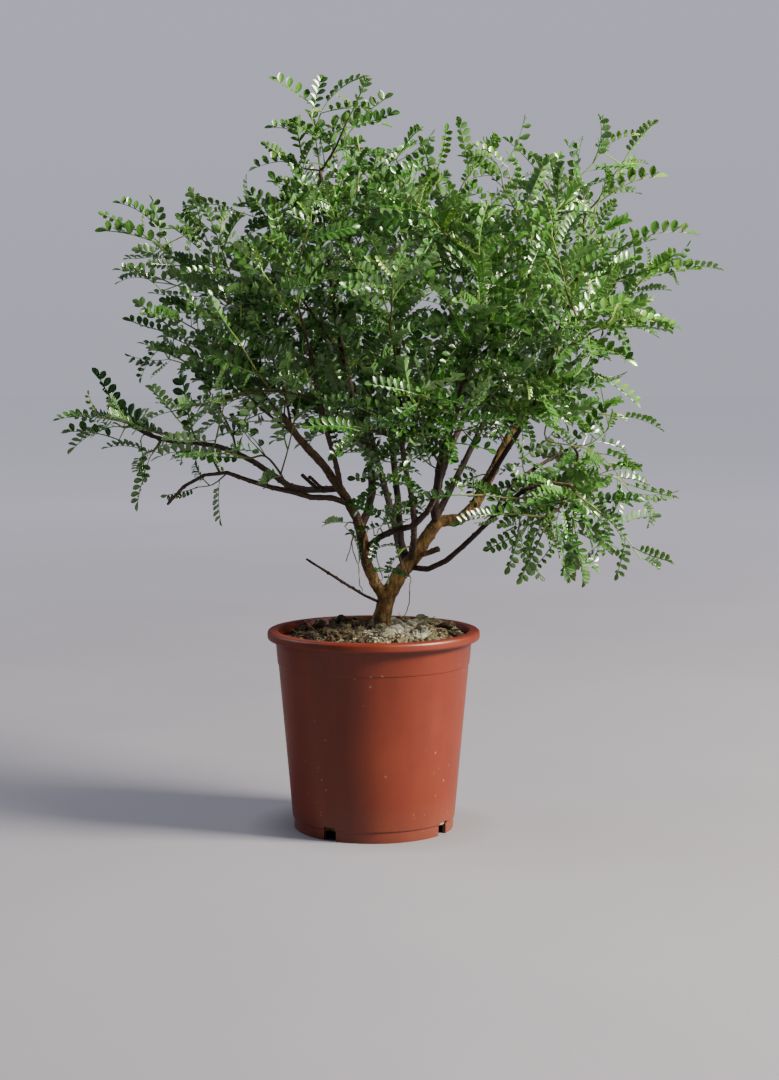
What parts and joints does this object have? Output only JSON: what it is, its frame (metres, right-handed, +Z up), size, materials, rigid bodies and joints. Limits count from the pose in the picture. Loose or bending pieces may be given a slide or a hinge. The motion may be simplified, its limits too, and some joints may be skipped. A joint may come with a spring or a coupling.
{
  "type": "potted prickly ash",
  "caption": "Small prickly ash tree with a forked trunk, spreading limbs and fine compound leaves, standing in a round tapered nursery pot filled with soil.",
  "frame": {"origin": "centre of the pot's flat underside, on the surface that it stands on", "axes": "+Z up along the pot's axis; -Y is the front of the plant, with the low branch to the left at -X"},
  "size_m": [0.5648, 0.4313, 0.618],
  "materials": {
    "pot_plastic": "satin",
    "soil_crumbs": "matte",
    "trunk_bark": "matte",
    "limb_bark": "matte",
    "leaf_green": "satin"
  },
  "bodies": {
    "root": {"back_left_limb": "limb_bark", "back_left_limb_spray_1": "leaf_green", "back_left_limb_spray_2": "leaf_green", "back_limb": "limb_bark", "back_limb_spray_1": "leaf_green", "back_right_limb": "limb_bark", "back_right_limb_spray_1": "leaf_green", "central_stem": "limb_bark", "central_stem_spray_1": "leaf_green", "central_stem_spray_2": "leaf_green", "central_stem_spray_3": "leaf_green", "crossing_branch": "limb_bark", "crossing_branch_spray_1": "leaf_green", "crossing_branch_spray_2": "leaf_green", "dead_twig": "limb_bark", "front_left_limb": "limb_bark", "front_left_limb_spray_1": "leaf_green", "front_left_limb_spray_2": "leaf_green", "front_limb": "limb_bark", "front_limb_spray_1": "leaf_green", "front_limb_spray_2": "leaf_green", "front_right_limb": "limb_bark", "front_right_limb_spray_1": "leaf_green", "front_right_limb_spray_2": "leaf_green", "leader_limb": "limb_bark", "leader_limb_spray_1": "leaf_green", "leader_limb_spray_2": "leaf_green", "leader_limb_spray_3": "leaf_green", "leader_limb_spray_4": "leaf_green", "leader_limb_spray_5": "leaf_green", "left_low_branch": "limb_bark", "left_low_branch_spray_1": "leaf_green", "left_low_branch_spray_2": "leaf_green", "left_stem": "trunk_bark", "left_stem_spray_1": "leaf_green", "left_stem_spray_2": "leaf_green", "left_stem_spray_3": "leaf_green", "left_sweeping_branch": "limb_bark", "left_sweeping_branch_spray_1": "leaf_green", "left_sweeping_branch_spray_2": "leaf_green", "left_sweeping_branch_spray_3": "leaf_green", "pot": "pot_plastic", "right_curved_limb": "trunk_bark", "right_curved_limb_spray_1": "leaf_green", "right_curved_limb_spray_2": "leaf_green", "right_curved_limb_spray_3": "leaf_green", "right_curved_limb_spray_4": "leaf_green", "right_inner_limb": "limb_bark", "right_inner_limb_spray_1": "leaf_green", "right_side_branch": "limb_bark", "right_side_branch_spray_1": "leaf_green", "right_side_branch_spray_2": "leaf_green", "right_side_fork_spray_1": "leaf_green", "right_stem": "trunk_bark", "right_upright_limb": "limb_bark", "right_upright_limb_spray_1": "leaf_green", "right_upright_limb_spray_2": "leaf_green", "right_upright_limb_spray_3": "leaf_green", "soil": "soil_crumbs", "trunk": "trunk_bark"}
  },
  "joints": []
}
